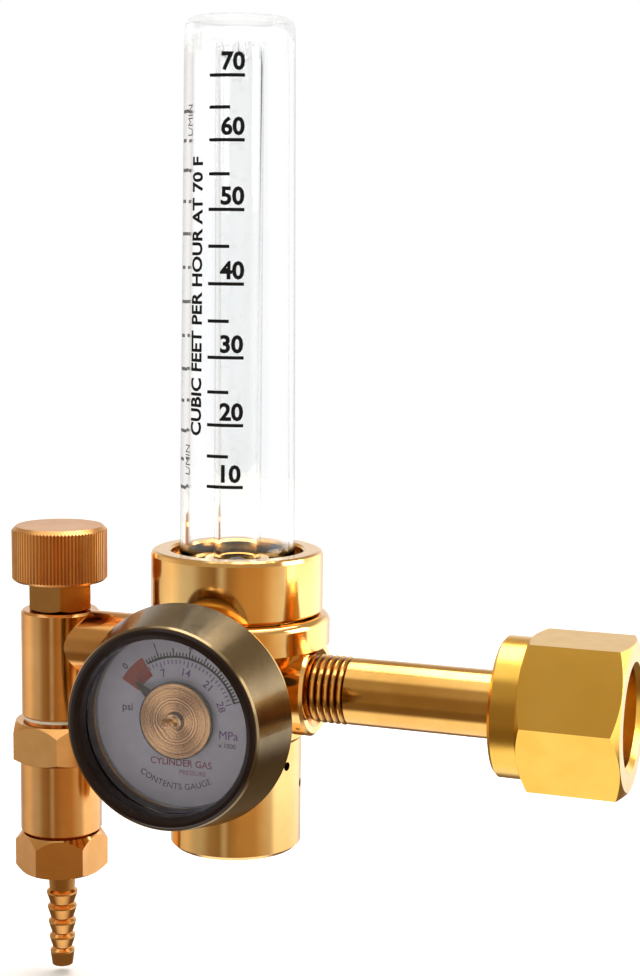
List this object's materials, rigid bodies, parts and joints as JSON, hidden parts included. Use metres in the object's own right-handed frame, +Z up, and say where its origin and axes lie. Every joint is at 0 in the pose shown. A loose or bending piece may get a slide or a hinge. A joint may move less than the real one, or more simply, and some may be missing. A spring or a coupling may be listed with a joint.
{
  "type": "gas flowmeter regulator",
  "caption": "Brass gas regulator with a swivel inlet nut, a cylinder pressure gauge, a clear flow tube with a float, a knurled needle valve and a hose barb.",
  "frame": {"origin": "centre of the inlet washer's outer face, where a cylinder valve's outlet seats", "axes": "+X along the inlet out of the nut's mouth, +Z up along the flow tube, the gauge faces -Y"},
  "size_m": [0.1324, 0.0566, 0.1984],
  "materials": {
    "polished_brass": "machined and polished, clear lacquered",
    "inlet_brass": "turned bar, lightly aged",
    "nut_brass": "forged and machined flats",
    "knurled_brass": "straight knurled, satin",
    "valve_brass": "machined and polished",
    "bezel_bronze": "bronze coloured, satin",
    "case_brass": "drawn sheet, satin",
    "lip_black": "dark glossy",
    "dial_paint": "printed dial paint",
    "pointer_brass": "spun finish",
    "movement_brass": "stamped and drilled",
    "spring_bronze": "drawn phosphor bronze",
    "sintered_bronze": "sintered, matt",
    "steel": "bright drawn",
    "float_steel": "dark polished ball",
    "clear_plastic": "clear moulded polycarbonate",
    "clear_glass": "drawn borosilicate tube",
    "lens_clear": "clear moulded window",
    "black_rubber": "moulded nitrile",
    "nylon": "machined nylon"
  },
  "bodies": {
    "regulator": {"main_body": "polished_brass", "piston_housing": "polished_brass", "tube_ring_nut": "polished_brass", "seat_nozzle": "movement_brass", "main_spring": "steel", "inlet_nipple": "inlet_brass", "inlet_filter": "sintered_bronze", "inlet_washer": "nylon", "flow_tube_cover": "clear_plastic", "cover_o_ring": "black_rubber", "flow_tube": "clear_glass", "tube_foot_seal": "black_rubber", "tube_foot_o_ring": "black_rubber", "tube_top_cap": "clear_plastic", "ball_stop": "movement_brass", "gauge_socket": "case_brass", "gauge_case": "case_brass", "gauge_bezel": "bezel_bronze", "case_relief_plug": "black_rubber", "lens_ring": "lip_black", "gauge_lens": "lens_clear", "gauge_dial": "dial_paint", "bourdon_tube": "spring_bronze", "movement_back_plate": "movement_brass", "movement_front_plate": "movement_brass", "movement_pillars": "movement_brass", "movement_screws": "steel", "hairspring": "spring_bronze", "valve_body": "valve_brass", "gland_nut": "valve_brass", "adapter_washer": "nylon", "outlet_adapter": "valve_brass", "hose_nut": "valve_brass", "hose_barb": "valve_brass"},
    "swivel_nut": {"inlet_nut": "nut_brass"},
    "float": {"float_ball": "float_steel"},
    "piston_group": {"piston": "movement_brass", "seat_pad": "nylon", "piston_flange_o_ring": "black_rubber", "piston_stem_o_ring": "black_rubber"},
    "rising_stem": {"stem_o_ring": "black_rubber"},
    "valve_knob": {"valve_stem": "steel", "knob": "knurled_brass", "knob_set_screw": "steel"},
    "sector": {"sector_gear": "movement_brass"},
    "pointer_shaft": {"pointer": "pointer_brass", "pointer_pinion": "movement_brass"},
    "link": {"tip_link": "movement_brass"}
  },
  "joints": [
    {"name": "inlet_nut_spin", "type": "hinge", "parent": "regulator", "child": "swivel_nut", "pos_m": [0, 0, 0], "axis": [1, 0, 0], "continuous": true},
    {"name": "float_rise", "type": "slide", "parent": "regulator", "child": "float", "axis": [0, 0, 1], "range_m": [0, 0.098]},
    {"name": "piston_travel", "type": "slide", "parent": "regulator", "child": "piston_group", "axis": [0, 0, 1], "range_m": [0, 0.0008], "stiffness_N_per_m": 8000, "springref_m": -0.001, "deforming": ["main_spring"]},
    {"name": "stem_lift", "type": "slide", "parent": "regulator", "child": "rising_stem", "axis": [0, 0, 1], "range_m": [0, 0.00241], "stiffness_N_per_m": 1, "springref_m": 0.26},
    {"name": "knob_turn", "type": "hinge", "parent": "rising_stem", "child": "valve_knob", "pos_m": [-0.1119, 0, 0.02], "axis": [0, 0, 1], "range_deg": [0, 1080]},
    {"name": "sector_turn", "type": "hinge", "parent": "regulator", "child": "sector", "pos_m": [-0.0716, -0.025, -0.01345], "axis": [0, -1, 0], "range_deg": [0, 20], "stiffness_Nm_per_rad": 0.002, "springref_deg": -5.73},
    {"name": "pointer_turn", "type": "hinge", "parent": "regulator", "child": "pointer_shaft", "pos_m": [-0.0716, -0.025, -0.0012], "axis": [0, -1, 0], "range_deg": [-120, 0]},
    {"name": "link_swing", "type": "hinge", "parent": "sector", "child": "link", "pos_m": [-0.0661, -0.025, -0.01345], "axis": [0, -1, 0], "range_deg": [-20, 0]}
  ],
  "couplings": [
    {"joint": "stem_lift", "follows": "knob_turn", "m_per_rad": 0.00012732},
    {"joint": "pointer_turn", "follows": "sector_turn", "ratio": -6},
    {"joint": "link_swing", "follows": "sector_turn", "ratio": -1}
  ]
}
